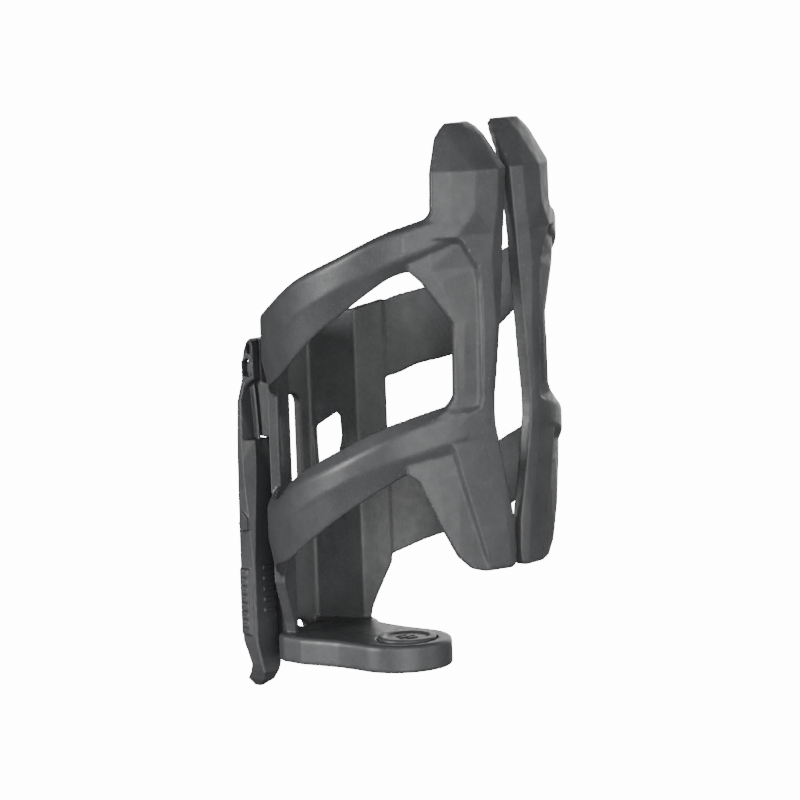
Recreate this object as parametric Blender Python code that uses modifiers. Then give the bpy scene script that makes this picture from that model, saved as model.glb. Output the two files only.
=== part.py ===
"""A water bottle cage with a tyre lever stowed on the right of its spine.

Row frame: the origin is on the flat back of the spine, on the solid web between the slot and the lower
bolt hole. +X is the cage's right, +Y points from the bicycle frame through the bottle, +Z is up.

The shapes are described in millimetres about the bottle's axis: side (+X), front (+Y from the axis) and
height above the underside of the base. An angle runs round the bottle from the front, towards +X.
place() turns these into the row frame in metres.
"""

import math

import bmesh
import bpy
import numpy as np
from mathutils import Matrix, Vector

MM = 0.001

# Driving dimensions, in millimetres and degrees.
FACE_TO_AXIS = 51.0  # bicycle frame face to bottle axis
ORIGIN_HEIGHT = 16.0  # mount point above the underside of the base
ARM_INNER = 37.6
BLADE_INNER = 37.1
COLUMN_RADIUS = 38.8  # middle of the column's wall
COLUMN_HALF = 1.5
WALL_HALF = 1.4
CREASE_ANGLE = 159.5  # where the column's arc meets the channel's flared wall
PLATE_HALF_WIDTH = 7.2
BASE_HEIGHT = 6.8
BASE_BOTTOM = -0.8
BASE_END_FRONT = -7.1  # centre of the base's round end
BASE_END_RADIUS = 14.0
DISC_FRONT = -4.8
DISC_RADIUS = 8.1
DISC_TOP = 7.55
DISC_RECESS = 1.3
GAP = 0.3
BOLT_SPACING = 64.0
BOLT_HEIGHT = 4.2
SLOT_WIDTH = 5.5
SLOT_LOW = 27.0
SLOT_HIGH = BOLT_HEIGHT + BOLT_SPACING + SLOT_WIDTH / 2
BOLT_HEAD_RADIUS = 5.4
BOLT_HEAD_FRONT = -41.5
HEAD_FLOOR = 1.0
HEAD_TOP = 12.0
PEG_FRONT = -48.1
PEG_HEIGHT = 80.2
PEG_HALF_WIDTH = 1.7
PEG_HALF_HEIGHT = 2.6
PEG_ROOT = 2.0  # how far the peg starts inside the holder
HOLDER_ROOT = 7.4  # side at which the holder starts, inside the channel's wall
HOLDER_SIDE = 13.9
LEVER_HEAD_SIDES = (14.2, 16.5)
THROUGH = 12.0  # cutters this long pass right through a wall

# Arm sections: angle, then the heights of the top edge, upper crease, lower crease and bottom edge, and
# the radius of the band between the creases.
UPPER_ARM = (
    (24, 127.6, 125.7, 120.6, 116.0, 39.5),
    (34, 126.4, 124.7, 118.6, 113.8, 40.3),
    (43, 124.6, 123.0, 116.5, 112.2, 40.9),
    (50, 123.1, 121.5, 114.6, 110.6, 40.9),
    (60, 120.1, 118.6, 111.2, 106.2, 40.6),
    (70, 116.8, 115.3, 107.8, 101.4, 40.4),
    (82, 113.3, 111.7, 103.6, 95.9, 40.2),
    (93, 110.1, 108.5, 99.5, 90.2, 40.1),
    (103, 106.5, 104.8, 95.0, 85.2, 40.0),
    (112, 103.3, 101.5, 91.1, 82.0, 40.0),
    (122, 100.8, 98.9, 87.6, 79.6, 40.0),
    (133, 99.1, 97.1, 84.6, 77.9, 40.0),
    (142, 97.6, 95.5, 82.4, 75.4, 39.9),
    (151, 95.4, 93.5, 80.6, 74.1, 39.8),
)
LOWER_ARM = (
    (24, 77.0, 74.1, 67.2, 60.5, 39.5),
    (34, 75.6, 72.3, 65.4, 59.6, 40.0),
    (45, 73.3, 70.0, 63.2, 58.5, 40.8),
    (52, 71.7, 67.8, 61.9, 56.0, 40.9),
    (60, 69.4, 65.2, 59.4, 52.9, 40.6),
    (70, 66.2, 61.9, 56.1, 48.7, 40.4),
    (82, 62.2, 58.3, 52.0, 43.3, 40.2),
    (93, 58.6, 55.1, 48.2, 38.5, 40.1),
    (103, 54.8, 51.8, 44.8, 34.4, 40.0),
    (112, 50.8, 47.9, 41.6, 32.0, 40.0),
    (122, 48.4, 45.6, 38.6, 30.4, 40.0),
    (133, 48.0, 45.4, 35.4, 28.0, 40.0),
    (142, 48.8, 46.2, 33.0, 25.6, 39.9),
    (151, 49.6, 47.0, 30.8, 23.4, 39.8),
)
TOP_EDGE_RADIUS = 38.2
BOTTOM_EDGE_RADIUS = 38.5

# Blade sections: height, the angles of the gap edge and of the far edge, how far the outer facets stand
# proud, and how far the gap edge and the far edge lean in towards the axis.
BLADE = (
    (31.5, 3.2, 15.8, 0.2, 0.0, 0.0),
    (32.3, 1.6, 20.5, 0.4, 0.0, 0.0),
    (35.6, 1.0, 26.0, 0.5, 0.0, 0.0),
    (43.9, 1.5, 32.6, 0.5, 0.0, 0.0),
    (56.8, 5.4, 41.0, 0.5, 0.0, 0.0),
    (58.6, 5.9, 45.4, 0.5, 0.0, 0.0),
    (71.0, 9.3, 44.0, 0.5, 0.0, 0.0),
    (74.6, 9.5, 32.0, 0.5, 0.0, 0.0),
    (78.8, 9.1, 26.0, 0.6, 0.0, 0.0),
    (98.2, 5.9, 25.4, 1.3, 0.0, 0.0),
    (109.4, 4.6, 37.4, 1.5, 0.0, 0.0),
    (112.7, 4.2, 42.6, 1.5, 0.0, 0.0),
    (121.0, 3.2, 41.0, 1.5, 0.0, 0.0),
    (127.8, 2.2, 32.9, 1.6, 0.0, 0.0),
    (138.3, 0.9, 32.5, 1.6, 0.0, 0.0),
    (147.0, 3.4, 28.5, 1.4, 6.4, 4.2),
    (149.2, 5.2, 25.4, 1.2, 8.4, 5.4),
    (150.5, 8.6, 22.6, 0.8, 9.3, 6.0),
)
BLADE_OUTER = 40.3
INNER_LEAN = 0.8  # the inside leans in less than the outside
BLADE_FACETS = ((0.0, 0.3), (0.16, 1.1), (0.44, 1.35), (0.78, 0.8), (1.0, 0.0))

# Spine: top and bottom heights of the column, the leg and the channel.
COLUMN = (
    (147.0, 22.3, 96.7),
    (150.0, 18.4, 96.1),
    (153.0, 14.4, 95.6),
    (156.0, 10.2, 95.2),
    (157.7, 5.6, 94.9),
)
LEG_BOTTOM = 1.6
CREASE_TOP = 94.6
PLATE_TOP = 91.5
WALL_WINDOW = ((4.6, 58.6), (5.6, 54.1), (7.0, 50.0), (12.3, 47.4), (12.7, 61.0), (5.8, 65.4), (4.9, 64.2))

# Lever sections: height, outer and inner sides, back, front edge of the side face, front, and the side
# at which the front face begins.
LEVER = (
    (77.0, 16.5, 14.3, -50.5, -49.0, -48.2, 15.0),
    (71.0, 18.5, 14.4, -50.5, -48.9, -47.6, 15.2),
    (60.6, 19.1, 14.4, -50.5, -48.5, -46.2, 16.2),
    (60.4, 19.1, 11.4, -50.5, -48.5, -46.0, 16.3),
    (55.0, 19.3, 11.4, -50.5, -48.0, -45.1, 17.0),
    (49.0, 19.4, 11.4, -50.5, -47.7, -44.9, 17.4),
    (38.0, 19.6, 11.5, -50.5, -46.2, -44.7, 18.4),
    (27.0, 19.7, 11.6, -50.5, -45.0, -44.5, 19.4),
    (14.0, 19.9, 11.6, -50.5, -44.9, -44.5, 19.6),
    (4.0, 19.9, 11.7, -50.3, -44.8, -44.4, 19.6),
    (-2.4, 19.6, 12.6, -47.6, -43.2, -42.9, 19.2),
    (-4.4, 19.4, 13.6, -48.2, -42.9, -42.6, 18.9),
    (-6.8, 19.0, 15.0, -50.0, -43.6, -43.3, 18.4),
    (-8.8, 17.8, 16.4, -48.6, -46.6, -46.4, 17.4),
)
PAD_HEIGHTS = (5.8, 24.4)
PAD_FRONTS = (-50.3, -46.4)
PAD_SIDES = (19.0, 20.9)

# Outlines of front and height.
HOLDER_OUTLINE = (
    (-50.4, 88.2),
    (-45.3, 88.2),
    (-45.3, 76.4),
    (-41.6, 76.4),
    (-41.4, 63.0),
    (-42.6, 61.0),
    (-50.4, 61.0),
)
LEVER_HEAD = (
    (-50.5, 77.0),
    (-48.6, 75.2),
    (-45.5, 77.4),
    (-45.5, 86.2),
    (-45.9, 87.7),
    (-46.9, 88.3),
    (-47.9, 88.0),
    (-49.2, 85.4),
    (-50.0, 82.6),
    (-50.5, 79.3),
)
LEVER_NOTCH = ((-48.4, 84.3), (-47.2, 84.3), (-47.2, 86.9), (-48.4, 86.9))

# The base's plan from its round end back to the plate, and on to the round end again: side and front.
BASE_RIGHT = (
    (14.2, -12.0),
    (14.6, -17.0),
    (16.4, -24.0),
    (17.8, -28.5),
    (17.9, -36.0),
    (16.6, -39.2),
    (11.6, -41.6),
    (8.6, -45.0),
    (7.6, -50.6),
)
BASE_LEFT = (
    (-7.6, -50.6),
    (-8.6, -45.0),
    (-11.6, -41.6),
    (-16.6, -39.2),
    (-15.5, -33.0),
    (-12.8, -29.0),
    (-12.4, -24.0),
    (-12.6, -17.0),
    (-13.5, -11.0),
)
DISC_DISH_RADIUS = 5.9
DISC_RIM = (6.4, 7.6)
DISC_CHAMFER = 0.5


def place(side, front, height):
    return Vector((side, front + FACE_TO_AXIS, height - ORIGIN_HEIGHT)) * MM


def around(angle, radius):
    """Side and front of a point at this angle and radius about the bottle's axis."""
    turn = math.radians(angle)
    return radius * math.sin(turn), radius * math.cos(turn)


def clear_scene():
    for obj in list(bpy.data.objects):
        bpy.data.objects.remove(obj, do_unlink=True)


def new_collection(name):
    collection = bpy.data.collections.new(name)
    bpy.context.scene.collection.children.link(collection)
    return collection


def material(name, colour, roughness):
    made = bpy.data.materials.new(name)
    made.use_nodes = True
    shader = made.node_tree.nodes["Principled BSDF"]
    shader.inputs["Base Color"].default_value = (*colour, 1.0)
    shader.inputs["Roughness"].default_value = roughness
    shader.inputs["Metallic"].default_value = 0.0
    return made


def object_from(mesh_builder, name, collection):
    bmesh.ops.recalc_face_normals(mesh_builder, faces=mesh_builder.faces)
    mesh = bpy.data.meshes.new(name)
    mesh_builder.to_mesh(mesh)
    mesh_builder.free()
    obj = bpy.data.objects.new(name, mesh)
    collection.objects.link(obj)
    return obj


def loft(name, rings, collection):
    """A closed solid through rings of equal numbers of points."""
    builder = bmesh.new()
    made = [[builder.verts.new(point) for point in ring] for ring in rings]
    count = len(rings[0])
    for low, high in zip(made, made[1:]):
        for i in range(count):
            j = (i + 1) % count
            builder.faces.new((low[i], low[j], high[j], high[i]))
    builder.faces.new(made[0])
    builder.faces.new(made[-1])
    bmesh.ops.triangulate(builder, faces=builder.faces)
    return object_from(builder, name, collection)


def slab(name, outline, thickness, matrix, collection):
    """A flat outline, in millimetres, drawn as a 2D curve, thickened about its plane and made a mesh."""
    curve = bpy.data.curves.new(name, "CURVE")
    curve.dimensions = "2D"
    curve.fill_mode = "BOTH"
    curve.extrude = thickness / 2 * MM
    spline = curve.splines.new("POLY")
    spline.points.add(len(outline) - 1)
    for point, (x, y) in zip(spline.points, outline):
        point.co = (x * MM, y * MM, 0.0, 1.0)
    spline.use_cyclic_u = True
    drawn = bpy.data.objects.new(name + "_outline", curve)
    collection.objects.link(drawn)
    drawn.matrix_world = matrix
    bpy.context.view_layer.update()
    graph = bpy.context.evaluated_depsgraph_get()
    mesh = bpy.data.meshes.new_from_object(drawn.evaluated_get(graph))
    builder = bmesh.new()
    builder.from_mesh(mesh)
    bmesh.ops.remove_doubles(builder, verts=builder.verts, dist=1e-6)
    bmesh.ops.recalc_face_normals(builder, faces=builder.faces)
    builder.to_mesh(mesh)
    builder.free()
    obj = bpy.data.objects.new(name, mesh)
    obj.matrix_world = matrix
    collection.objects.link(obj)
    bpy.data.objects.remove(drawn, do_unlink=True)
    return obj


def plan_matrix(height):
    """An outline of side and front, about the bottle's axis, at this height."""
    return Matrix.Translation(place(0, 0, height))


def front_matrix(front):
    """An outline of side and height, seen from the front."""
    return Matrix.Translation(place(0, front, 0)) @ Matrix.Rotation(math.pi / 2, 4, "X")


def side_matrix(side):
    """An outline of front and height, seen from the right."""
    turned = Matrix(((0, 0, 1, 0), (1, 0, 0, 0), (0, 1, 0, 0), (0, 0, 0, 1)))
    return Matrix.Translation(place(side, 0, 0)) @ turned


def arc(centre, radius, first, last, steps):
    """Points on an arc, with angles in degrees anticlockwise from +x."""
    turns = np.radians(np.linspace(first, last, steps + 1))
    return [(centre[0] + radius * math.cos(t), centre[1] + radius * math.sin(t)) for t in turns]


def boolean(obj, other, operation):
    modifier = obj.modifiers.new(other.name, "BOOLEAN")
    modifier.operation = operation
    modifier.solver = "EXACT"
    modifier.object = other
    other.hide_render = True
    other.display_type = "WIRE"


def mirror_image(obj, collection):
    """A copy of the shape on the other side of the middle plane."""
    other = bpy.data.objects.new(obj.name + "_left", obj.data.copy())
    collection.objects.link(other)
    other.data.transform(Matrix.Scale(-1.0, 4, (1.0, 0.0, 0.0)) @ obj.matrix_world)
    other.data.flip_normals()
    return other


def arm(name, sections, collection):
    rings = []
    for angle, top, high, low, bottom, radius in sections:
        profile = (
            (TOP_EDGE_RADIUS, top),
            (radius, high),
            (radius, low),
            (BOTTOM_EDGE_RADIUS, bottom),
            (ARM_INNER, bottom),
            (ARM_INNER, top),
        )
        rings.append([place(*around(angle, r), height) for r, height in profile])
    return loft(name, rings, collection)


def blade(collection):
    rings = []
    for height, gap_angle, far_angle, proud, gap_lean, far_lean in BLADE:
        span = far_angle - gap_angle
        ring = []
        for share, weight in BLADE_FACETS:
            lean = gap_lean + share * (far_lean - gap_lean)
            radius = BLADE_OUTER + proud * weight - lean
            ring.append(place(*around(gap_angle + share * span, radius), height))
        for share in (1.0, 0.66, 0.33, 0.0):
            lean = gap_lean + share * (far_lean - gap_lean)
            radius = BLADE_INNER - lean * INNER_LEAN
            ring.append(place(*around(gap_angle + share * span, radius), height))
        rings.append(ring)
    return loft("blade", rings, collection)


def spine_rings():
    """Upright sections from one column's free edge, along its wall and the plate, to the other column."""

    def ring(middle, normal, half, bottom, top):
        inner = (middle[0] - normal[0] * half, middle[1] - normal[1] * half)
        outer = (middle[0] + normal[0] * half, middle[1] + normal[1] * half)
        return [place(*inner, bottom), place(*outer, bottom), place(*outer, top), place(*inner, top)]

    rings = []
    for angle, bottom, top in COLUMN:
        rings.append(ring(around(angle, COLUMN_RADIUS), around(angle, 1.0), COLUMN_HALF, bottom, top))
    crease = Vector(around(CREASE_ANGLE, COLUMN_RADIUS))
    corner = Vector((PLATE_HALF_WIDTH, WALL_HALF - FACE_TO_AXIS))
    along = (corner - crease).normalized()
    wall_normal = Vector((-along.y, along.x))
    crease_normal = (Vector(around(CREASE_ANGLE, 1.0)) + wall_normal).normalized()
    corner_normal = (wall_normal + Vector((0.0, -1.0))).normalized()
    crease_half = WALL_HALF / crease_normal.dot(wall_normal)
    corner_half = WALL_HALF / corner_normal.dot(wall_normal)
    rings.append(ring(crease, crease_normal, crease_half, LEG_BOTTOM, CREASE_TOP))
    rings.append(ring(corner, corner_normal, corner_half, LEG_BOTTOM, PLATE_TOP + 0.5))
    rings += [[Vector((-p.x, p.y, p.z)) for p in right] for right in reversed(rings)]
    return rings, crease, along, wall_normal


def window_cutter(crease, along, wall_normal, collection):
    rings = []
    for depth in (-3.5, 3.5):
        ring = []
        for run, height in WALL_WINDOW:
            spot = crease + along * run + wall_normal * depth
            ring.append(place(spot.x, spot.y, height))
        rings.append(ring)
    return loft("wall_window", rings, collection)


def base_outline():
    end = arc((0.0, BASE_END_FRONT), BASE_END_RADIUS, 180.0, 0.0, 20)
    return end + list(BASE_RIGHT + BASE_LEFT)


def slot_outline(low, high, width):
    half = width / 2
    return arc((0.0, high - half), half, 0.0, 180.0, 8) + arc((0.0, low + half), half, 180.0, 360.0, 8)


def hexagon(front, height, half_width, half_height):
    """Tall hexagon with its points at top and bottom."""
    shoulder = 0.55 * half_height
    return [
        (front, height - half_height),
        (front + half_width, height - shoulder),
        (front + half_width, height + shoulder),
        (front, height + half_height),
        (front - half_width, height + shoulder),
        (front - half_width, height - shoulder),
    ]


def holder(collection):
    """Rib on the channel's wall that carries the lever's head."""
    middle = (HOLDER_SIDE + HOLDER_ROOT) / 2
    thickness = HOLDER_SIDE - HOLDER_ROOT
    return slab("lever_holder", HOLDER_OUTLINE, thickness, side_matrix(middle), collection)


def peg(collection):
    inner = HOLDER_SIDE - PEG_ROOT
    outer = LEVER_HEAD_SIDES[1] + 0.2
    outline = hexagon(PEG_FRONT, PEG_HEIGHT, PEG_HALF_WIDTH, PEG_HALF_HEIGHT)
    return slab("lever_peg", outline, outer - inner, side_matrix((outer + inner) / 2), collection)


def bolt_cutters(collection):
    """The slot and hole for the two frame bolts, and the pocket for the lower bolt's head."""
    back = front_matrix(-FACE_TO_AXIS)
    slot = slab("bolt_slot", slot_outline(SLOT_LOW, SLOT_HIGH, SLOT_WIDTH), THROUGH, back, collection)
    centre = (0.0, BOLT_HEIGHT)
    hole = slab("bolt_hole", arc(centre, SLOT_WIDTH / 2, 0.0, 345.0, 23), THROUGH, back, collection)
    dip = math.degrees(math.asin((BOLT_HEIGHT - HEAD_FLOOR) / BOLT_HEAD_RADIUS))
    pocket = arc(centre, BOLT_HEAD_RADIUS, -dip, 0.0, 4)
    pocket += [(BOLT_HEAD_RADIUS, HEAD_TOP), (-BOLT_HEAD_RADIUS, HEAD_TOP)]
    pocket += arc(centre, BOLT_HEAD_RADIUS, 180.0, 180.0 + dip, 4)
    plate_front = 2 * WALL_HALF - FACE_TO_AXIS
    middle = front_matrix((BOLT_HEAD_FRONT + plate_front) / 2)
    head = slab("bolt_head_space", pocket, BOLT_HEAD_FRONT - plate_front, middle, collection)
    return [slot, hole, head]


def disc_seat(collection):
    recess = arc((0.0, DISC_FRONT), DISC_RADIUS + GAP, 0.0, 352.5, 47)
    return slab("disc_seat", recess, 2 * DISC_RECESS, plan_matrix(BASE_HEIGHT), collection)


def cage_body(parts, cutters, finish):
    """The cage's single moulding: a spine, base, arms and blades like their mirror image, with a lever
    holder on the right."""
    rings, crease, along, wall_normal = spine_rings()
    body = loft("cage_body", rings, parts)
    window = window_cutter(crease, along, wall_normal, cutters)
    for piece in (window, mirror_image(window, cutters)):
        boolean(body, piece, "DIFFERENCE")
    for piece in (
        arm("upper_arm", UPPER_ARM, cutters),
        arm("lower_arm", LOWER_ARM, cutters),
        blade(cutters),
    ):
        boolean(body, piece, "UNION")
        boolean(body, mirror_image(piece, cutters), "UNION")
    middle = plan_matrix((BASE_HEIGHT + BASE_BOTTOM) / 2)
    base = slab("base", base_outline(), BASE_HEIGHT - BASE_BOTTOM, middle, cutters)
    for piece in (base, holder(cutters), peg(cutters)):
        boolean(body, piece, "UNION")

    for cutter in bolt_cutters(cutters) + [disc_seat(cutters)]:
        boolean(body, cutter, "DIFFERENCE")
    body.data.materials.append(finish)
    return body


def base_disc(parts, finish):
    """Round cover let into the top of the base, a rim round a shallow dish."""
    bottom = BASE_HEIGHT - DISC_RECESS + GAP
    shoulder = DISC_TOP - DISC_CHAMFER
    profile = (
        (0.0, shoulder),
        (DISC_DISH_RADIUS, shoulder),
        (DISC_RIM[0], DISC_TOP),
        (DISC_RIM[1], DISC_TOP),
        (DISC_RADIUS, shoulder),
        (DISC_RADIUS, bottom),
        (0.0, bottom),
    )
    builder = bmesh.new()
    points = [builder.verts.new((radius * MM, 0.0, height * MM)) for radius, height in profile]
    for first, second in zip(points, points[1:]):
        builder.edges.new((first, second))
    mesh = bpy.data.meshes.new("base_disc")
    builder.to_mesh(mesh)
    builder.free()
    disc = bpy.data.objects.new("base_disc", mesh)
    parts.objects.link(disc)
    disc.location = place(0.0, DISC_FRONT, 0.0)
    screw = disc.modifiers.new("turn", "SCREW")
    screw.axis = "Z"
    screw.steps = 48
    screw.render_steps = 48
    screw.use_merge_vertices = True
    screw.merge_threshold = 0.00001
    disc.data.materials.append(finish)
    return disc


def lever_shaft(name, collection):
    """The lever's body from its neck down to its hooked tip."""
    rings = []
    for height, outer, inner, back, edge, front, front_start in LEVER:
        profile = (
            (outer, back),
            (outer, edge),
            (front_start, front),
            (inner, front),
            (inner, back),
        )
        rings.append([place(side, forward, height) for side, forward in profile])
    return loft(name, rings, collection)


def tyre_lever(parts, cutters, finish):
    """Tyre lever: shaft with a hooked tip, an eye that hangs on the holder's peg, and a raised pad."""
    name = "tyre_lever"
    shaft = lever_shaft(name, parts)
    head_inner, head_outer = LEVER_HEAD_SIDES
    middle = side_matrix((head_inner + head_outer) / 2)
    head = slab(name + "_head", LEVER_HEAD, head_outer - head_inner, middle, cutters)
    boolean(shaft, head, "UNION")
    pad_size = PAD_SIDES[1] - PAD_SIDES[0]
    low, high = PAD_HEIGHTS
    back, front = PAD_FRONTS
    pad_outline = ((back, low), (front, low), (front, high), (back, high))
    pad = slab(name + "_pad", pad_outline, pad_size, side_matrix(sum(PAD_SIDES) / 2), cutters)
    boolean(shaft, pad, "UNION")
    eye = hexagon(PEG_FRONT, PEG_HEIGHT, PEG_HALF_WIDTH + GAP, PEG_HALF_HEIGHT + GAP)
    boolean(shaft, slab(name + "_eye", eye, THROUGH, middle, cutters), "DIFFERENCE")
    boolean(shaft, slab(name + "_notch", LEVER_NOTCH, THROUGH, middle, cutters), "DIFFERENCE")
    shaft.data.materials.append(finish)
    return shaft


def main():
    clear_scene()
    parts = new_collection("bottle_cage")
    cutters = new_collection("joined_shapes_and_cutters")
    cutters.hide_render = True
    nylon = material("cage_nylon", (0.105, 0.107, 0.112), 0.5)
    lever_nylon = material("lever_nylon", (0.095, 0.097, 0.102), 0.42)
    cage_body(parts, cutters, nylon)
    base_disc(parts, nylon)
    tyre_lever(parts, cutters, lever_nylon)


main()
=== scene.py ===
"""The looks of a water bottle cage in dark moulded nylon, with a tyre lever hung beside its spine.

Shapes are described in millimetres about the bottle's axis: side (+X), front (+Y from the axis) and height
above a level just over the underside of the base. An angle runs round the bottle from the front, towards
+X. place() turns these into the row frame in metres. Each moulding is drawn as overlapping closed shapes,
which are fused and softened so that its edges and inner corners get the small radii of a moulding.
"""

import math

import bmesh
import bpy
import numpy as np
from mathutils import Matrix, Vector


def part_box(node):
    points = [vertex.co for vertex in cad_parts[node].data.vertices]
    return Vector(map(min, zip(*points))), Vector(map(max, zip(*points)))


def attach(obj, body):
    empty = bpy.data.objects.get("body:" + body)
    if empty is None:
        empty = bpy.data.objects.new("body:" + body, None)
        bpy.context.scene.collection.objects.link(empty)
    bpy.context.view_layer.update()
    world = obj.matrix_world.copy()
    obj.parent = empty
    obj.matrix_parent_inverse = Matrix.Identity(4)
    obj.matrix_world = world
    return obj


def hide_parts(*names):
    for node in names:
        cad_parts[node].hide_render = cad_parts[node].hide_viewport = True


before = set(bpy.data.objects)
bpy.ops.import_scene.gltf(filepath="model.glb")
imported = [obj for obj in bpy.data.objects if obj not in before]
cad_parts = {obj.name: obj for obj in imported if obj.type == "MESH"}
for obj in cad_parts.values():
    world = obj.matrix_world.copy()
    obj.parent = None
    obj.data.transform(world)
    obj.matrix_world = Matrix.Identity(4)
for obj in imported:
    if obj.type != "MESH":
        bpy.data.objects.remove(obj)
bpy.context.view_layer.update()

MM = 0.001
FACE_TO_AXIS = 51.0  # bicycle frame face to bottle axis
ORIGIN_HEIGHT = 16.0  # mount point above the level that heights are measured from

# Camera: where it looks from and at, about the bottle's axis.
CAMERA_TURN = 43.0  # degrees from the front, towards +X
CAMERA_RISE = 8.0
CAMERA_ROLL = 2.1
CAMERA_DISTANCE = 1250.0
CAMERA_SHIFT = -2.8  # aim point, to the camera's left of the axis
CAMERA_AIM_HEIGHT = 73.2
CAMERA_CLIP = (0.05, 60.0)
SENSOR = 36.0
LENS = 207.0

# How finely each moulding is fused, in millimetres, and how often it is softened.
BODY_CELL = 0.42
BODY_SOFTENING = 3
LEVER_CELL = 0.2
LEVER_SOFTENING = 4
DISC_CELL = 0.14
DISC_SOFTENING = 3
THROUGH = 12.0  # cutters this long pass right through a wall

# Floor, in metres: the radius and height of each ring, and how far it lies below the object.
FLOOR_SWEEP = ((12.0, 0.0), (15.0, 0.6), (17.0, 2.0), (18.0, 5.0), (18.2, 12.0))
FLOOR_SIDES = 96
FLOOR_DROP = 0.0005
FLOOR_GLOW = 14.0

# Each light's direction along the camera's left, upwards and towards the camera, then its strength and
# how wide it spreads in degrees.
LIGHTS = {
    "side_light": (1.0, 0.15, 0.4, 2.4, 22.0),
    "front_light": (-0.2, 0.05, 1.0, 2.3, 60.0),
    "fill_light": (-1.0, 0.1, 0.4, 0.6, 40.0),
    "back_light": (-0.4, 0.3, -1.0, 1.2, 50.0),
}
WORLD_STRENGTH = 0.06

# Nylon: the scales of its noises per metre, the depths of its relief, and how much lighter its speckles and
# edges get, the edges partly as rubbed wear and partly as a painted highlight.
MOTTLE_SCALE = 90.0
SPECKLE_SCALE = 1900.0
GLOSS_SCALE = 420.0
GRAIN_SCALE = 1500.0
RIPPLE_SCALE = 70.0
RIPPLE_DEPTH = 0.25
GRAIN_STRENGTH = 0.5
RIPPLE_STRENGTH = 0.35
SPECKLE_LIGHTER = 1.5
WEAR_AND_HIGHLIGHT_LIGHTER = 1.9
SPECULAR = 0.6
CAGE_COLOURS = ((0.070, 0.072, 0.075), (0.088, 0.090, 0.093))
CAGE_ROUGHNESS = 0.4
CAGE_GRAIN = 0.05
LEVER_COLOURS = ((0.052, 0.053, 0.056), (0.064, 0.066, 0.069))
LEVER_ROUGHNESS = 0.42
LEVER_GRAIN = 0.03

# Cage
ARM_INNER = 37.6
BLADE_INNER = 37.1
BLADE_OUTER = 40.3
COLUMN_RADIUS = 38.8
COLUMN_HALF = 1.5
WALL_HALF = 1.4
CREASE_ANGLE = 159.5
PLATE_HALF_WIDTH = 7.2
PLATE_TOP = 92.0
CREASE_TOP = 94.6
LEG_BOTTOM = 1.6
BASE_HEIGHT = 6.8
BASE_BOTTOM = -0.8
BASE_END_FRONT = -7.1
BASE_END_RADIUS = 14.0
BASE_EDGE = 1.0
BASE_UNDER_EDGE = 0.4
DISC_FRONT = -4.8
DISC_RADIUS = 8.1
DISC_TOP = 7.55
DISC_RECESS = 1.3
DISC_PROFILE = ((5.2, 0.55), (5.6, 0.5), (6.0, 0.15), (6.4, 0.0), (7.5, 0.0), (7.9, 0.1), (DISC_RADIUS, 0.4))
DISC_SIDES = 96
DISC_BARS = {-1: 1.7, 0: 2.6, 1: 1.7}  # half length of the bar at each place, counted from the middle
DISC_BAR_STEP = 2.2
DISC_BAR_HALF = 0.45
DISC_BAR_DROPS = (1.0, 0.2)
GAP = 0.3
BOLT_SPACING = 64.0
BOLT_HEIGHT = 4.2
SLOT_WIDTH = 5.5
SLOT_LOW = 27.0
SLOT_HIGH = BOLT_HEIGHT + BOLT_SPACING + SLOT_WIDTH / 2
BOLT_HEAD_RADIUS = 5.4
BOLT_HEAD_FRONT = -41.5
HEAD_FLOOR = 1.0
HEAD_TOP = 12.0

# Arm sections: angle, then the heights of the top edge, upper crease, lower crease and bottom edge, and
# the radius of the band between the creases.
UPPER_ARM = (
    (22, 128.0, 126.1, 121.2, 117.0, 41.2),
    (34, 126.4, 124.7, 118.6, 113.8, 41.2),
    (43, 124.6, 123.0, 116.5, 112.2, 41.0),
    (50, 123.1, 121.5, 114.6, 110.6, 40.9),
    (60, 120.1, 118.6, 111.2, 106.2, 40.6),
    (70, 116.8, 115.3, 107.8, 101.4, 40.4),
    (82, 113.3, 111.7, 103.6, 95.9, 40.1),
    (93, 110.1, 108.5, 99.5, 90.2, 40.0),
    (103, 106.5, 104.8, 95.0, 85.2, 40.0),
    (112, 103.3, 101.5, 91.1, 82.0, 40.0),
    (122, 100.8, 98.9, 87.6, 79.6, 40.0),
    (133, 99.1, 97.1, 84.6, 77.9, 40.0),
    (142, 97.6, 95.5, 82.4, 75.4, 39.9),
    (151, 95.4, 93.5, 80.6, 74.1, 39.8),
)
LOWER_ARM = (
    (22, 77.4, 74.5, 67.6, 60.8, 40.9),
    (34, 75.6, 72.3, 65.6, 59.8, 41.0),
    (45, 73.3, 70.0, 63.4, 58.5, 41.0),
    (52, 71.7, 67.8, 61.9, 56.0, 40.9),
    (60, 69.4, 65.2, 59.4, 52.9, 40.6),
    (70, 66.2, 61.9, 56.1, 48.7, 40.4),
    (82, 62.2, 58.3, 52.0, 43.3, 40.1),
    (93, 58.6, 55.1, 48.2, 38.5, 40.0),
    (103, 54.8, 51.8, 44.8, 34.4, 40.0),
    (112, 50.8, 47.9, 41.6, 32.0, 40.0),
    (122, 48.4, 45.6, 38.6, 30.4, 40.0),
    (133, 48.0, 45.4, 35.4, 28.0, 40.0),
    (142, 48.8, 46.2, 33.0, 25.6, 39.9),
    (151, 49.6, 47.0, 30.8, 23.4, 39.8),
)
TOP_EDGE_RADIUS = 38.0
BOTTOM_EDGE_RADIUS = 38.5
ARM_STEPS = 5
CREASE_DROP = 0.3  # how much the arm's band falls away at its creases
CREASE_SPREAD = (0.5, 0.6)  # outside and inside each crease

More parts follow.
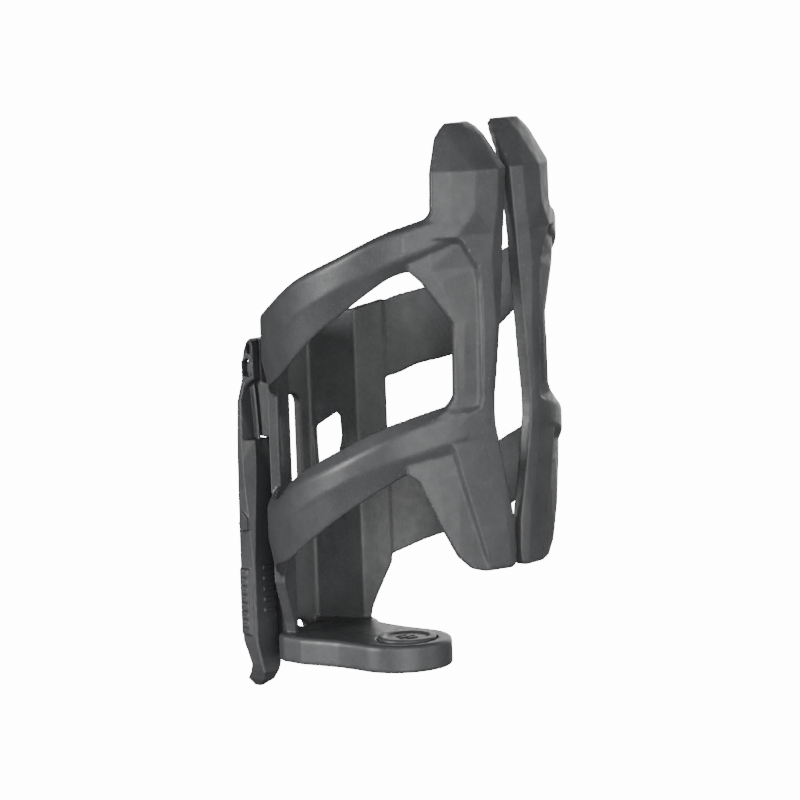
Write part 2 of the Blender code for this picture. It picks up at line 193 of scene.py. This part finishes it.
# Blade sections: height; the angles of the gap edge, of the sunk panel's rim and of the far edge; how far
# the outer facets stand proud; how far the panel is sunk; how far the gap edge and the far edge lean in.
BLADE = (
    (31.5, 3.2, 12.6, 15.8, 0.2, 0.0, 0.0, 0.0),
    (32.3, 1.6, 13.6, 20.5, 0.4, 0.5, 0.0, 0.0),
    (35.6, 1.0, 15.2, 26.0, 0.5, 1.0, 0.0, 0.0),
    (43.9, 1.5, 18.6, 32.6, 0.5, 1.1, 0.0, 0.0),
    (56.8, 5.4, 24.0, 41.0, 0.5, 1.1, 0.0, 0.0),
    (58.6, 5.9, 24.6, 45.4, 0.5, 1.1, 0.0, 0.0),
    (65.2, 7.7, 27.0, 44.8, 0.5, 1.1, 0.0, 0.0),
    (66.4, 8.0, 28.4, 44.6, 0.5, 0.0, 0.0, 0.0),
    (71.0, 9.3, 24.0, 44.0, 0.5, 0.0, 0.0, 0.0),
    (74.2, 9.5, 20.6, 33.0, 0.5, 0.0, 0.0, 0.0),
    (75.8, 9.4, 15.9, 29.5, 0.5, 0.9, 0.0, 0.0),
    (78.8, 9.1, 14.9, 26.0, 0.6, 1.2, 0.0, 0.0),
    (98.2, 5.9, 14.7, 25.4, 1.3, 1.5, 0.0, 0.0),
    (109.4, 4.6, 15.1, 37.4, 1.5, 1.5, 0.0, 0.0),
    (112.7, 4.2, 16.0, 42.6, 1.5, 1.5, 0.0, 0.0),
    (119.6, 3.4, 21.6, 41.4, 1.5, 1.3, 0.0, 0.0),
    (121.2, 3.2, 23.6, 41.0, 1.5, 0.0, 0.0, 0.0),
    (127.8, 2.2, 16.0, 32.9, 1.6, 0.0, 0.0, 0.0),
    (138.3, 0.9, 14.8, 32.5, 1.6, 0.0, 0.0, 0.0),
    (147.0, 3.4, 14.4, 28.5, 1.4, 0.0, 6.4, 4.2),
    (149.2, 5.2, 13.9, 25.4, 1.2, 0.0, 8.4, 5.4),
    (150.5, 8.6, 14.5, 22.6, 0.8, 0.0, 9.3, 6.0),
)
RIDGE_SHARE = 0.16  # of the way from gap edge to far edge
SHOULDER_SHARE = 0.78
FACET_HEIGHTS = ((0.0, RIDGE_SHARE, 0.44, SHOULDER_SHARE, 1.0), (0.3, 1.1, 1.35, 0.8, 0.0))
INNER_LEAN = 0.8  # the inside leans in less than the outside
RIM_WIDTH = 0.9  # degrees over which the panel drops
PANEL_SHARES = (0.75, 0.3)  # of the panel's depth, at the shoulder and at the far edge
INNER_SHARES = (1.0, 0.66, 0.33, 0.0)

# Spine: the column's angle with its bottom and top heights.
COLUMN = (
    (147.0, 22.3, 96.7),
    (150.0, 18.4, 96.1),
    (153.0, 14.4, 95.6),
    (156.0, 10.2, 95.2),
    (157.7, 5.6, 94.9),
)
WINDOW_DEPTHS = (-3.5, 3.5)
WALL_WINDOW = ((4.6, 58.6), (5.6, 54.1), (7.0, 50.0), (12.3, 47.4), (12.7, 61.0), (5.8, 65.4), (4.9, 64.2))

# The base's plan from its round end back to the plate, and on to the round end again: side and front.
BASE_RIGHT = (
    (14.2, -12.0),
    (14.6, -17.0),
    (16.4, -24.0),
    (17.8, -28.5),
    (17.9, -36.0),
    (16.6, -39.2),
    (11.6, -41.6),
    (8.6, -45.0),
    (7.6, -50.6),
)
BASE_LEFT = (
    (-7.6, -50.6),
    (-8.6, -45.0),
    (-11.6, -41.6),
    (-16.6, -39.2),
    (-15.5, -33.0),
    (-12.8, -29.0),
    (-12.4, -24.0),
    (-12.6, -17.0),
    (-13.5, -11.0),
)

# Lever holder on the channel's wall: front and height.
HOLDER_OUTLINE = (
    (-50.4, 88.2),
    (-45.3, 88.2),
    (-45.3, 76.4),
    (-41.6, 76.4),
    (-41.4, 63.0),
    (-42.6, 61.0),
    (-50.4, 61.0),
)
HOLDER_ROOT = 7.4
HOLDER_SIDE = 13.9
PEG_FRONT = -48.1
PEG_HEIGHT = 80.2
PEG_HALF_WIDTH = 1.7
PEG_HALF_HEIGHT = 2.6
PEG_END = 15.3
PEG_ROOT = 2.0  # how far the peg starts inside the holder
PEG_EDGE = 0.3

# Lever sections: height, outer and inner sides, back, front edge of the side face, front, and the side
# at which the front face begins.
LEVER = (
    (77.0, 16.5, 14.3, -50.5, -49.0, -48.8, 15.0),
    (71.0, 18.5, 14.4, -50.5, -48.9, -48.3, 15.2),
    (60.6, 19.1, 14.4, -50.5, -48.5, -47.4, 16.2),
    (60.4, 19.1, 11.4, -50.5, -48.5, -46.0, 16.3),
    (55.0, 19.3, 11.4, -50.5, -48.0, -45.1, 17.0),
    (49.0, 19.4, 11.4, -50.5, -47.7, -44.9, 17.4),
    (38.0, 19.6, 11.5, -50.5, -46.2, -44.7, 18.4),
    (27.0, 19.7, 11.6, -50.5, -45.0, -44.5, 19.4),
    (14.0, 19.9, 11.6, -50.5, -44.9, -44.5, 19.6),
    (4.0, 19.9, 11.7, -50.3, -44.8, -44.4, 19.6),
    (-2.4, 19.6, 12.6, -47.6, -43.2, -42.9, 19.2),
    (-4.4, 19.4, 13.6, -48.2, -42.9, -42.6, 18.9),
    (-6.8, 19.0, 15.0, -50.0, -43.6, -43.3, 18.4),
    (-8.8, 17.8, 16.4, -48.6, -46.6, -46.4, 17.4),
)
LEVER_HEAD_SIDES = (14.2, 16.5)
LEVER_HEAD = (
    (-50.5, 77.0),
    (-48.6, 75.2),
    (-45.5, 77.4),
    (-45.5, 86.2),
    (-45.9, 87.7),
    (-46.9, 88.3),
    (-47.9, 88.0),
    (-49.2, 85.4),
    (-50.0, 82.6),
    (-50.5, 79.3),
)
HEAD_FACE_MARGIN = 0.5
HEAD_FACE_DEPTH = 0.35
EYE_RIM = 0.45
LEVER_NOTCH = ((-48.4, 84.3), (-47.2, 84.3), (-47.2, 86.9), (-48.4, 86.9))
PAD_HEIGHTS = (5.8, 24.4)
PAD_FRONTS = (-50.3, -46.4)
PAD_SIDES = (19.0, 20.8)
PAD_EDGE = 0.3
PAD_BARS = 7
PAD_BAR_FIRST = 2.3  # above the pad's lower end
PAD_BAR_STEP = 2.35
PAD_BAR_SIZE = 0.9
PAD_BAR_DEPTH = 0.6
RIB_HEIGHTS = [12.6 + 3.0 * i for i in range(5)]
RIB_HALF_HEIGHT = 0.5
RIB_SIDES = (12.8, 16.6)
RIB_FRONTS = (-45.0, -44.1)
LONG_RIB = ((79.0, -49.6, -47.6), (72.0, -49.4, -46.6), (66.0, -49.0, -46.1), (58.0, -48.0, -45.6))
LONG_RIB_SIDES = (14.35, 14.95)
SHIELD = ((-49.3, 75.4), (-46.4, 77.0), (-46.4, 78.0), (-49.9, 78.0), (-49.9, 76.6))
SHIELD_DEPTHS = (-0.4, 0.3)  # from the head's outer face
NUB = ((-50.2, 37.0), (-48.6, 34.9), (-46.4, 35.6), (-46.4, 38.6), (-48.4, 40.4))
NUB_SIDES = (18.8, 20.2)


def place(side, front, height):
    return Vector((side, front + FACE_TO_AXIS, height - ORIGIN_HEIGHT)) * MM


def around(angle, radius):
    """Side and front of a point at this angle and radius about the bottle's axis."""
    turn = math.radians(angle)
    return radius * math.sin(turn), radius * math.cos(turn)


def arc(centre, radius, first, last, steps):
    """Points on an arc, with angles in degrees anticlockwise from the first axis."""
    turns = np.radians(np.linspace(first, last, steps + 1))
    return [(centre[0] + radius * math.cos(t), centre[1] + radius * math.sin(t)) for t in turns]


def rectangle(left, right, low, high):
    return ((left, low), (right, low), (right, high), (left, high))


def between(rows, steps):
    """The rows with others between them, on a smooth curve through all."""
    table = np.array(rows, float)
    ends = np.vstack([2 * table[0] - table[1], table, 2 * table[-1] - table[-2]])
    found = []
    for i in range(1, len(table)):
        before, start, stop, after = ends[i - 1 : i + 3]
        for t in np.arange(steps) / steps:
            bend = 2 * start + (stop - before) * t
            bend = bend + (2 * before - 5 * start + 4 * stop - after) * t**2
            bend = bend + (3 * start - before - 3 * stop + after) * t**3
            found.append(bend / 2)
    return found + [table[-1]]


def offset(outline, amount):
    """An anticlockwise outline moved outwards by this much, or inwards where it is negative."""
    points = [Vector(p) for p in outline]
    moved = []
    for i, point in enumerate(points):
        first = (point - points[i - 1]).normalized()
        second = (points[(i + 1) % len(points)] - point).normalized()
        normal = (Vector((first.y, -first.x)) + Vector((second.y, -second.x))).normalized()
        moved.append(tuple(point + normal * amount / normal.dot(Vector((first.y, -first.x)))))
    return moved


def object_from(builder, name):
    bmesh.ops.triangulate(builder, faces=builder.faces)
    bmesh.ops.recalc_face_normals(builder, faces=builder.faces)
    mesh = bpy.data.meshes.new(name)
    builder.to_mesh(mesh)
    builder.free()
    made = bpy.data.objects.new(name, mesh)
    bpy.context.scene.collection.objects.link(made)
    return made


def loft(name, rings):
    """A closed shape through rings of equal numbers of points."""
    builder = bmesh.new()
    made = [[builder.verts.new(point) for point in ring] for ring in rings]
    count = len(rings[0])
    for low, high in zip(made, made[1:]):
        for i in range(count):
            j = (i + 1) % count
            builder.faces.new((low[i], low[j], high[j], high[i]))
    builder.faces.new(made[0])
    builder.faces.new(made[-1])
    return object_from(builder, name)


PLANES = {
    "side": lambda level, x, y: place(level, x, y),
    "front": lambda level, x, y: place(x, level, y),
    "up": lambda level, x, y: place(x, y, level),
}


def prism(name, plane, outline, low, high, edge=0.0):
    """An outline drawn across an axis, from one level to another, with both edges cut back if asked."""
    at = PLANES[plane]
    levels = [(low, 0.0), (high, 0.0)]
    if edge:
        levels = [(low, -edge), (low + edge, 0.0), (high - edge, 0.0), (high, -edge)]
    rings = [[at(level, *point) for point in offset(outline, moved)] for level, moved in levels]
    return loft(name, rings)


def mirrored(piece):
    other = bpy.data.objects.new(piece.name + "_left", piece.data.copy())
    bpy.context.scene.collection.objects.link(other)
    other.data.transform(Matrix.Scale(-1.0, 4, (1.0, 0.0, 0.0)))
    other.data.flip_normals()
    return other


def evaluated_mesh(piece):
    bpy.context.view_layer.update()
    graph = bpy.context.evaluated_depsgraph_get()
    return bpy.data.meshes.new_from_object(piece.evaluated_get(graph))


def remove(pieces):
    for piece in pieces:
        bpy.data.objects.remove(piece, do_unlink=True)


def cut(piece, cutters):
    """Takes the cutters' shapes out of the piece."""
    for cutter in cutters:
        modifier = piece.modifiers.new(cutter.name, "BOOLEAN")
        modifier.operation = "DIFFERENCE"
        modifier.solver = "EXACT"
        modifier.object = cutter
    mesh = evaluated_mesh(piece)
    piece.modifiers.clear()
    piece.data = mesh
    return piece


def fuse(name, pieces, cell, softening):
    """One skin round overlapping closed shapes, with its edges and inner corners softened."""
    builder = bmesh.new()
    for piece in pieces:
        builder.from_mesh(piece.data)
    mesh = bpy.data.meshes.new(name)
    builder.to_mesh(mesh)
    builder.free()
    made = bpy.data.objects.new(name, mesh)
    bpy.context.scene.collection.objects.link(made)
    remesh = made.modifiers.new("skin", "REMESH")
    remesh.mode = "VOXEL"
    remesh.voxel_size = cell * MM
    soften = made.modifiers.new("soften", "SMOOTH")
    soften.factor = 0.5
    soften.iterations = softening
    made.data = evaluated_mesh(made)
    made.modifiers.clear()
    made.data.shade_smooth()
    remove(pieces)
    return made


def arm(name, sections):
    outside, inside = CREASE_SPREAD
    rings = []
    for angle, top, high, low, bottom, radius in between(sections, ARM_STEPS):
        profile = (
            (TOP_EDGE_RADIUS, top),
            (radius - CREASE_DROP, high + outside),
            (radius, high - inside),
            (radius, low + inside),
            (radius - CREASE_DROP, low - outside),
            (BOTTOM_EDGE_RADIUS, bottom),
            (ARM_INNER, bottom),
            (ARM_INNER, top),
        )
        rings.append([place(*around(angle, r), height) for r, height in profile])
    return loft(name, rings)


def blade():
    rings = []
    for height, gap, rim, far, proud, sunk, gap_lean, far_lean in BLADE:
        after_rim = min(rim + RIM_WIDTH, far - 0.5)
        shoulder = max(gap + SHOULDER_SHARE * (far - gap), after_rim + 0.3)
        angles = np.array((gap, gap + RIDGE_SHARE * (far - gap), rim, after_rim, shoulder, far))
        shares = (angles - gap) / (far - gap)
        leans = gap_lean + shares * (far_lean - gap_lean)
        radii = BLADE_OUTER + proud * np.interp(shares, *FACET_HEIGHTS) - leans
        radii[3] = radii[2] - sunk
        radii[4] -= PANEL_SHARES[0] * sunk
        radii[5] -= PANEL_SHARES[1] * sunk
        ring = [place(*around(angle, radius), height) for angle, radius in zip(angles, radii)]
        for share in INNER_SHARES:
            inner = BLADE_INNER - INNER_LEAN * (gap_lean + share * (far_lean - gap_lean))
            ring.append(place(*around(gap + share * (far - gap), inner), height))
        rings.append(ring)
    return loft("blade", rings)


def upright(middle, normal, half, bottom, top):
    """An upright section through the spine's wall."""
    inner = (middle[0] - normal[0] * half, middle[1] - normal[1] * half)
    outer = (middle[0] + normal[0] * half, middle[1] + normal[1] * half)
    return [place(*inner, bottom), place(*outer, bottom), place(*outer, top), place(*inner, top)]


def spine():
    """The two columns, the channel's walls and its plate, with the windows in the walls."""
    rings = []
    for angle, bottom, top in COLUMN:
        rings.append(upright(around(angle, COLUMN_RADIUS), around(angle, 1.0), COLUMN_HALF, bottom, top))
    crease = Vector(around(CREASE_ANGLE, COLUMN_RADIUS))
    corner = Vector((PLATE_HALF_WIDTH, WALL_HALF - FACE_TO_AXIS))
    along = (corner - crease).normalized()
    wall_normal = Vector((-along.y, along.x))
    crease_normal = (Vector(around(CREASE_ANGLE, 1.0)) + wall_normal).normalized()
    corner_normal = (wall_normal + Vector((0.0, -1.0))).normalized()
    crease_half = WALL_HALF / crease_normal.dot(wall_normal)
    corner_half = WALL_HALF / corner_normal.dot(wall_normal)
    rings.append(upright(crease, crease_normal, crease_half, LEG_BOTTOM, CREASE_TOP))
    rings.append(upright(corner, corner_normal, corner_half, LEG_BOTTOM, PLATE_TOP))
    rings += [[Vector((-p.x, p.y, p.z)) for p in right] for right in reversed(rings)]
    wall = loft("spine", rings)
    window = loft(
        "wall_window",
        [
            [place(*(crease + along * run + wall_normal * depth), height) for run, height in WALL_WINDOW]
            for depth in WINDOW_DEPTHS
        ],
    )
    cutters = [window, mirrored(window), *bolt_cutters()]
    cut(wall, cutters)
    remove(cutters)
    return wall


def bolt_cutters():
    """The slot and hole for the two frame bolts, and the pocket for the lower bolt's head."""
    half = SLOT_WIDTH / 2
    back = -FACE_TO_AXIS
    slot_outline = arc((0.0, SLOT_HIGH - half), half, 0.0, 180.0, 16)
    slot_outline += arc((0.0, SLOT_LOW + half), half, 180.0, 360.0, 16)
    slot = prism("bolt_slot", "front", slot_outline, back - THROUGH / 2, back + THROUGH / 2)
    centre = (0.0, BOLT_HEIGHT)
    hole_outline = arc(centre, half, 0.0, 350.0, 35)
    hole = prism("bolt_hole", "front", hole_outline, back - THROUGH / 2, back + THROUGH / 2)
    dip = math.degrees(math.asin((BOLT_HEIGHT - HEAD_FLOOR) / BOLT_HEAD_RADIUS))
    pocket = arc(centre, BOLT_HEAD_RADIUS, -dip, 0.0, 6)
    pocket += [(BOLT_HEAD_RADIUS, HEAD_TOP), (-BOLT_HEAD_RADIUS, HEAD_TOP)]
    pocket += arc(centre, BOLT_HEAD_RADIUS, 180.0, 180.0 + dip, 6)
    head = prism("bolt_head_space", "front", pocket, 2 * WALL_HALF + back, BOLT_HEAD_FRONT)
    return [slot, hole, head]


def base():
    """The plate under the bottle, with its softened edges and the seat of the disc."""
    end = arc((0.0, BASE_END_FRONT), BASE_END_RADIUS, 180.0, 0.0, 36)
    outline = end + list(BASE_RIGHT + BASE_LEFT)
    outline.reverse()
    levels = (
        (BASE_BOTTOM, -BASE_UNDER_EDGE),
        (BASE_BOTTOM + BASE_UNDER_EDGE, 0.0),
        (BASE_HEIGHT - BASE_EDGE, 0.0),
        (BASE_HEIGHT - 0.3 * BASE_EDGE, -0.3 * BASE_EDGE),
        (BASE_HEIGHT, -BASE_EDGE),
    )
    rings = [[place(x, y, level) for x, y in offset(outline, moved)] for level, moved in levels]
    plate = loft("base", rings)
    seat_outline = arc((0.0, DISC_FRONT), DISC_RADIUS + GAP, 0.0, 352.5, 47)
    seat = prism("disc_seat", "up", seat_outline, BASE_HEIGHT - DISC_RECESS, BASE_HEIGHT + DISC_RECESS)
    cutters = [seat, *bolt_cutters()]
    cut(plate, cutters)
    remove(cutters)
    return plate


def hexagon(half_width, half_height):
    """Tall hexagon about the peg's middle, with its points at top and bottom."""
    shoulder = 0.55 * half_height
    return [
        (PEG_FRONT, PEG_HEIGHT - half_height),
        (PEG_FRONT + half_width, PEG_HEIGHT - shoulder),
        (PEG_FRONT + half_width, PEG_HEIGHT + shoulder),
        (PEG_FRONT, PEG_HEIGHT + half_height),
        (PEG_FRONT - half_width, PEG_HEIGHT + shoulder),
        (PEG_FRONT - half_width, PEG_HEIGHT - shoulder),
    ]


def cage_moulding(finish):
    arms = [arm("upper_arm", UPPER_ARM), arm("lower_arm", LOWER_ARM), blade()]
    peg_outline = hexagon(PEG_HALF_WIDTH, PEG_HALF_HEIGHT)
    pieces = arms + [mirrored(piece) for piece in arms]
    pieces += [
        spine(),
        base(),
        prism("lever_holder", "side", HOLDER_OUTLINE[::-1], HOLDER_ROOT, HOLDER_SIDE),
        prism("lever_peg", "side", peg_outline, HOLDER_SIDE - PEG_ROOT, PEG_END, PEG_EDGE),
    ]
    body = fuse("cage_moulding", pieces, BODY_CELL, BODY_SOFTENING)
    return finished(body, "cage", "cage_body", finish)


def disc_cover(finish):
    """Round cover let into the base: a rim round a shallow dish, with three plain raised bars."""
    profile = [(radius, DISC_TOP - drop) for radius, drop in DISC_PROFILE]
    profile.append((DISC_RADIUS, BASE_HEIGHT - DISC_RECESS + GAP))
    turns = np.linspace(0.0, 2 * math.pi, DISC_SIDES, endpoint=False)
    rings = []
    for radius, height in profile:
        rings.append([place(radius * math.sin(t), DISC_FRONT + radius * math.cos(t), height) for t in turns])
    pieces = [loft("dish", rings)]
    low, high = (DISC_TOP - drop for drop in DISC_BAR_DROPS)
    for k, length in DISC_BARS.items():
        middle = DISC_FRONT + DISC_BAR_STEP * k
        outline = rectangle(-length, length, middle - DISC_BAR_HALF, middle + DISC_BAR_HALF)
        pieces.append(prism(f"bar_{k}", "up", outline, low, high))
    disc = fuse("disc_cover", pieces, DISC_CELL, DISC_SOFTENING)
    return finished(disc, "cage", "base_disc", finish)


def lever_shaft():
    rings = []
    for height, outer, inner, back, edge, front, front_start in LEVER:
        profile = (
            (outer, back),
            (outer, edge),
            (front_start, front),
            (inner, front),
            (inner, back),
        )
        rings.append([place(side, forward, height) for side, forward in profile])
    return loft("shaft", rings)


def lever_head():
    """The head with its sunk outer face, its eye's rim and its notch, and the shaft cut for the eye."""
    head_inner, head_outer = LEVER_HEAD_SIDES
    eye = hexagon(PEG_HALF_WIDTH + GAP, PEG_HALF_HEIGHT + GAP)
    face = offset(LEVER_HEAD, -HEAD_FACE_MARGIN)
    face_cutter = prism("head_face", "side", face, head_outer - HEAD_FACE_DEPTH, head_outer + 1.0)
    eye_cutter = prism("eye", "side", eye, head_inner - 1.0, head_outer + 1.0)
    notch_cutter = prism("notch", "side", LEVER_NOTCH, head_inner - 1.0, head_outer + 1.0)
    head = prism("head", "side", LEVER_HEAD, head_inner, head_outer)
    cut(head, [face_cutter, eye_cutter, notch_cutter])
    rim = prism("eye_rim", "side", offset(eye, EYE_RIM), head_inner, head_outer)
    cut(rim, [eye_cutter])
    shaft = lever_shaft()
    cut(shaft, [eye_cutter])
    remove([face_cutter, eye_cutter, notch_cutter])
    return [shaft, head, rim]


def long_rib():
    inner, outer = LONG_RIB_SIDES
    rings = []
    for height, back, front in LONG_RIB:
        corners = ((outer, back), (outer, front), (inner, front), (inner, back))
        rings.append([place(x, y, height) for x, y in corners])
    return loft("long_rib", rings)


def pad_pieces():
    """The raised pad on the lever's outer side, and the grip bars across it."""
    low, high = PAD_HEIGHTS
    back, front = PAD_FRONTS
    inner, outer = PAD_SIDES
    pad = prism("pad", "side", rectangle(back, front, low, high), inner, outer - PAD_EDGE, PAD_EDGE)
    bars = []
    for i in range(PAD_BARS):
        height = low + PAD_BAR_FIRST + PAD_BAR_STEP * i
        bar = rectangle(back + PAD_BAR_SIZE, front - PAD_BAR_SIZE, height, height + PAD_BAR_SIZE)
        bars.append(prism(f"pad_bar_{i}", "side", bar, outer - PAD_BAR_DEPTH, outer))
    return pad, bars


def front_ribs():
    ribs = []
    for i, height in enumerate(RIB_HEIGHTS):
        outline = rectangle(*RIB_SIDES, height - RIB_HALF_HEIGHT, height + RIB_HALF_HEIGHT)
        ribs.append(prism(f"rib_{i}", "front", outline, *RIB_FRONTS))
    return ribs


def lever_moulding(finish):
    head_pieces = lever_head()
    shield_sides = [LEVER_HEAD_SIDES[1] + depth for depth in SHIELD_DEPTHS]
    shield = prism("shield", "side", SHIELD, *shield_sides)
    pad, bars = pad_pieces()
    nub = prism("nub", "side", NUB, *NUB_SIDES)
    pieces = [*head_pieces, long_rib(), shield, pad, nub, *bars, *front_ribs()]
    lever = fuse("lever_moulding", pieces, LEVER_CELL, LEVER_SOFTENING)
    return finished(lever, "tyre_lever", "tyre_lever", finish)


def finished(piece, body, node, finish):
    piece.data.materials.clear()
    piece.data.materials.append(finish)
    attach(piece, body)
    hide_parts(node)
    return piece


def moulded_nylon(name, colours, roughness, grain):
    """Grey nylon with a fine moulded grain, slight mottling, and edges painted a little lighter, partly as
    rubbed wear and partly as a painted highlight.
    """
    dark, light = colours
    made = bpy.data.materials.new(name)
    made.use_nodes = True
    tree = made.node_tree
    shader = tree.nodes["Principled BSDF"]
    shader.inputs["Specular IOR Level"].default_value = SPECULAR
    spot = tree.nodes.new("ShaderNodeTexCoord")

    def noise(scale, detail):
        node = tree.nodes.new("ShaderNodeTexNoise")
        node.inputs["Scale"].default_value = scale
        node.inputs["Detail"].default_value = detail
        tree.links.new(spot.outputs["Object"], node.inputs["Vector"])
        return node.outputs["Fac"]

    def ramp(source, low, high, first, second):
        node = tree.nodes.new("ShaderNodeMapRange")
        for socket, value in zip(("From Min", "From Max", "To Min", "To Max"), (low, high, first, second)):
            node.inputs[socket].default_value = value
        tree.links.new(source, node.inputs["Value"])
        return node.outputs["Result"]

    def mix(factor, first, second):
        node = tree.nodes.new("ShaderNodeMix")
        node.data_type = "RGBA"
        tree.links.new(factor, node.inputs["Factor"])
        for socket, value in (("A", first), ("B", second)):
            target = next(s for s in node.inputs if s.name == socket and s.type == "RGBA")
            if isinstance(value, tuple):
                target.default_value = (*value, 1.0)
            else:
                tree.links.new(value, target)
        return next(s for s in node.outputs if s.type == "RGBA")

    def bump(height, strength, depth):
        node = tree.nodes.new("ShaderNodeBump")
        node.inputs["Strength"].default_value = strength
        node.inputs["Distance"].default_value = depth * MM
        tree.links.new(height, node.inputs["Height"])
        return node

    mottle = mix(ramp(noise(MOTTLE_SCALE, 4.0), 0.35, 0.65, 0.0, 1.0), dark, light)
    speckles = ramp(noise(SPECKLE_SCALE, 2.0), 0.5, 0.75, 0.0, 0.35)
    speckled = mix(speckles, mottle, tuple(SPECKLE_LIGHTER * c for c in light))
    shape = tree.nodes.new("ShaderNodeNewGeometry")
    # Sharp outer edges are painted lighter: partly rubbed wear, partly a painted highlight along the edges.
    wear_and_highlight = ramp(shape.outputs["Pointiness"], 0.56, 0.66, 0.0, 0.4)
    colour = mix(wear_and_highlight, speckled, tuple(WEAR_AND_HIGHLIGHT_LIGHTER * c for c in light))
    gloss = ramp(noise(GLOSS_SCALE, 3.0), 0.3, 0.7, roughness - 0.06, roughness + 0.07)
    fine = bump(noise(GRAIN_SCALE, 3.0), GRAIN_STRENGTH, grain)
    broad = bump(noise(RIPPLE_SCALE, 2.0), RIPPLE_STRENGTH, RIPPLE_DEPTH)
    tree.links.new(colour, shader.inputs["Base Color"])
    tree.links.new(gloss, shader.inputs["Roughness"])
    tree.links.new(broad.outputs["Normal"], fine.inputs["Normal"])
    tree.links.new(fine.outputs["Normal"], shader.inputs["Normal"])
    return made


def add_floor():
    """A wide pale floor just under the lever's tip, which curves up far away."""
    lowest = min(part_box(node)[0].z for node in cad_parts)
    last = 360.0 - 360.0 / FLOOR_SIDES
    rings = []
    for radius, height in FLOOR_SWEEP:
        circle = arc((0.0, 0.0), radius, 0.0, last, FLOOR_SIDES - 1)
        rings.append([Vector((x, y, height)) for x, y in circle])
    builder = bmesh.new()
    made = [[builder.verts.new(point) for point in ring] for ring in rings]
    for low, high in zip(made, made[1:]):
        for i in range(len(low)):
            builder.faces.new((low[i - 1], low[i], high[i], high[i - 1]))
    builder.faces.new(made[0])
    mesh = bpy.data.meshes.new("floor")
    builder.to_mesh(mesh)
    builder.free()
    floor = bpy.data.objects.new("floor", mesh)
    bpy.context.scene.collection.objects.link(floor)
    floor.location.z = lowest - FLOOR_DROP
    finish = bpy.data.materials.new("floor_paint")
    finish.use_nodes = True
    shader = finish.node_tree.nodes["Principled BSDF"]
    shader.inputs["Base Color"].default_value = (0.95, 0.95, 0.95, 1.0)
    shader.inputs["Roughness"].default_value = 0.9
    shader.inputs["Specular IOR Level"].default_value = 0.1
    shader.inputs["Emission Color"].default_value = (1.0, 1.0, 1.0, 1.0)
    shader.inputs["Emission Strength"].default_value = FLOOR_GLOW
    mesh.materials.append(finish)
    floor.visible_diffuse = False
    floor.visible_glossy = False
    floor.visible_shadow = False


def view_axes():
    """The camera's right, up and forward directions before its roll."""
    turn = math.radians(CAMERA_TURN)
    rise = math.radians(CAMERA_RISE)
    out = Vector((math.sin(turn), math.cos(turn), 0.0))
    forward = -(math.cos(rise) * out + Vector((0.0, 0.0, math.sin(rise))))
    right = Vector((-out.y, out.x, 0.0))
    return right, right.cross(forward), forward


def add_camera():
    right, up, forward = view_axes()
    roll = math.radians(CAMERA_ROLL)
    rolled_right = math.cos(roll) * right - math.sin(roll) * up
    rolled_up = math.sin(roll) * right + math.cos(roll) * up
    data = bpy.data.cameras.new("camera")
    data.sensor_width = SENSOR
    data.lens = LENS
    data.clip_start, data.clip_end = CAMERA_CLIP
    camera = bpy.data.objects.new("camera", data)
    bpy.context.scene.collection.objects.link(camera)
    aim = place(0.0, 0.0, CAMERA_AIM_HEIGHT) + right * CAMERA_SHIFT * MM
    turned = Matrix((rolled_right, rolled_up, -forward)).transposed().to_4x4()
    camera.matrix_world = Matrix.Translation(aim - forward * CAMERA_DISTANCE * MM) @ turned
    bpy.context.scene.camera = camera


def add_sun(name, leftward, upward, towards_camera, strength, spread):
    """A wide soft light from this direction, given along the camera's own left, the vertical and outwards."""
    right, _, forward = view_axes()
    level = Vector((forward.x, forward.y, 0.0)).normalized()
    source = -right * leftward + Vector((0.0, 0.0, upward)) - level * towards_camera
    data = bpy.data.lights.new(name, "SUN")
    data.energy = strength
    data.angle = math.radians(spread)
    light = bpy.data.objects.new(name, data)
    bpy.context.scene.collection.objects.link(light)
    light.rotation_euler = source.to_track_quat("Z", "Y").to_euler()


def add_lights():
    for name, settings in LIGHTS.items():
        add_sun(name, *settings)
    world = bpy.data.worlds.new("studio")
    world.use_nodes = True
    world.node_tree.nodes["Background"].inputs["Color"].default_value = (1.0, 1.0, 1.0, 1.0)
    world.node_tree.nodes["Background"].inputs["Strength"].default_value = WORLD_STRENGTH
    bpy.context.scene.world = world


def main():
    add_camera()
    add_lights()
    add_floor()
    cage_nylon = moulded_nylon("cage_nylon_finish", CAGE_COLOURS, CAGE_ROUGHNESS, CAGE_GRAIN)
    lever_nylon = moulded_nylon("lever_nylon_finish", LEVER_COLOURS, LEVER_ROUGHNESS, LEVER_GRAIN)
    cage_moulding(cage_nylon)
    disc_cover(cage_nylon)
    lever_moulding(lever_nylon)


main()
